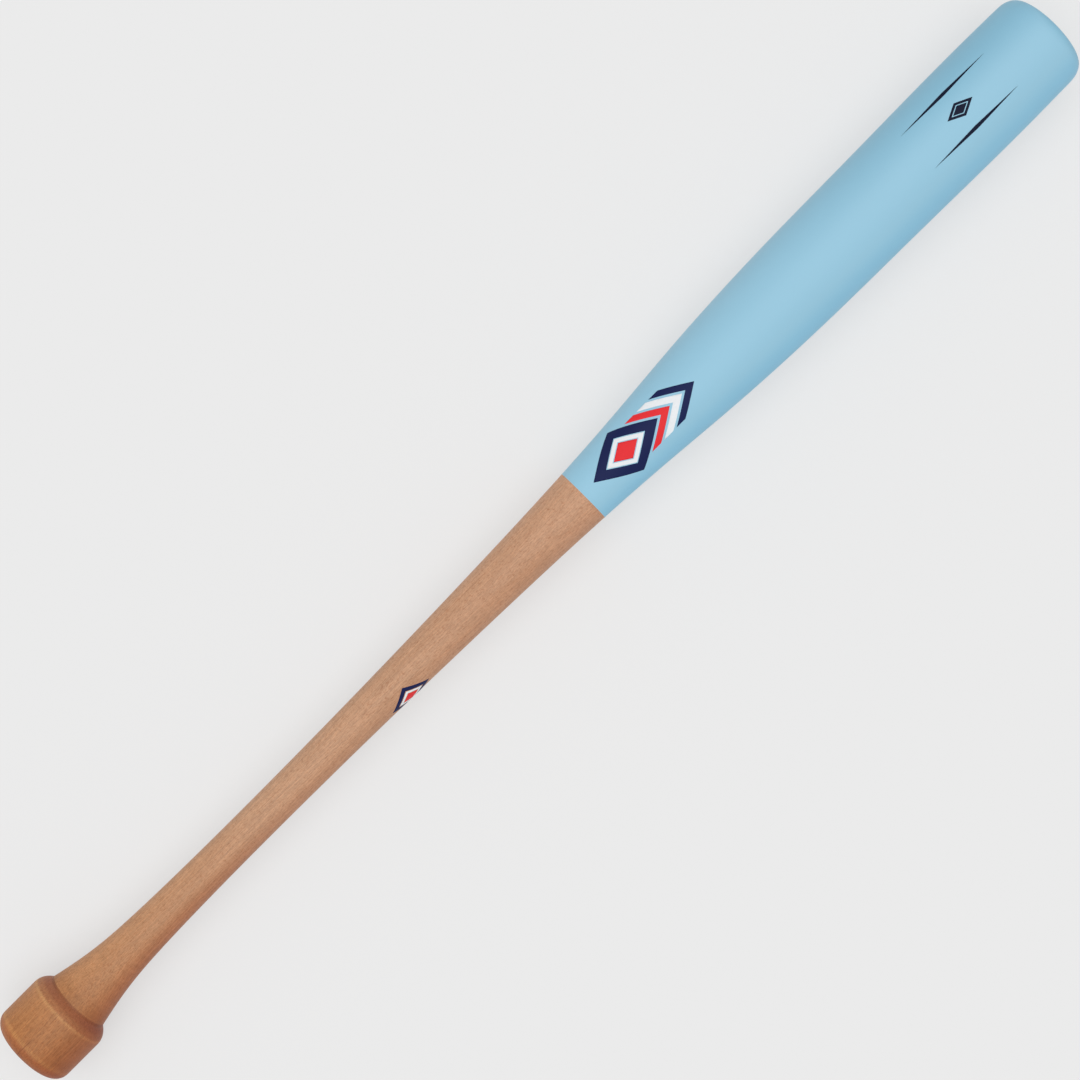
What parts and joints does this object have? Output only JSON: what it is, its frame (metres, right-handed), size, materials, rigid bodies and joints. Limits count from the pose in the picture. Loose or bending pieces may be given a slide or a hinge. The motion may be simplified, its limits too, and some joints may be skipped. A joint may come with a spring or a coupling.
{
  "type": "wooden baseball bat",
  "caption": "Turned maple baseball bat with a round knob, slim handle and a sky-blue enamelled barrel, carrying plain printed diamond, chevron and line marks.",
  "frame": {"origin": "centre of the flat middle of the knob's face, on the bat's axis", "axes": "+X runs along the bat's axis from the knob to the end of the barrel; +Z is the side that the taper and barrel marks face"},
  "size_m": [0.8382, 0.061, 0.0613],
  "materials": {
    "maple": "satin",
    "sky_blue_enamel": "satin",
    "navy_ink": "satin",
    "red_ink": "satin",
    "white_ink": "satin",
    "print_ink": "satin"
  },
  "bodies": {
    "root": {"maple_billet": "maple", "barrel_paint": "sky_blue_enamel", "taper_mark_navy_frame": "navy_ink", "taper_mark_white_frame": "white_ink", "taper_mark_red_core": "red_ink", "taper_mark_red_chevron": "red_ink", "taper_mark_white_chevron": "white_ink", "taper_mark_navy_chevron": "navy_ink", "handle_mark_navy_frame": "navy_ink", "handle_mark_white_frame": "white_ink", "handle_mark_red_core": "red_ink", "barrel_mark_frame": "print_ink", "barrel_mark_core": "print_ink", "barrel_mark_upper_line": "print_ink", "barrel_mark_lower_line": "print_ink"}
  },
  "joints": []
}
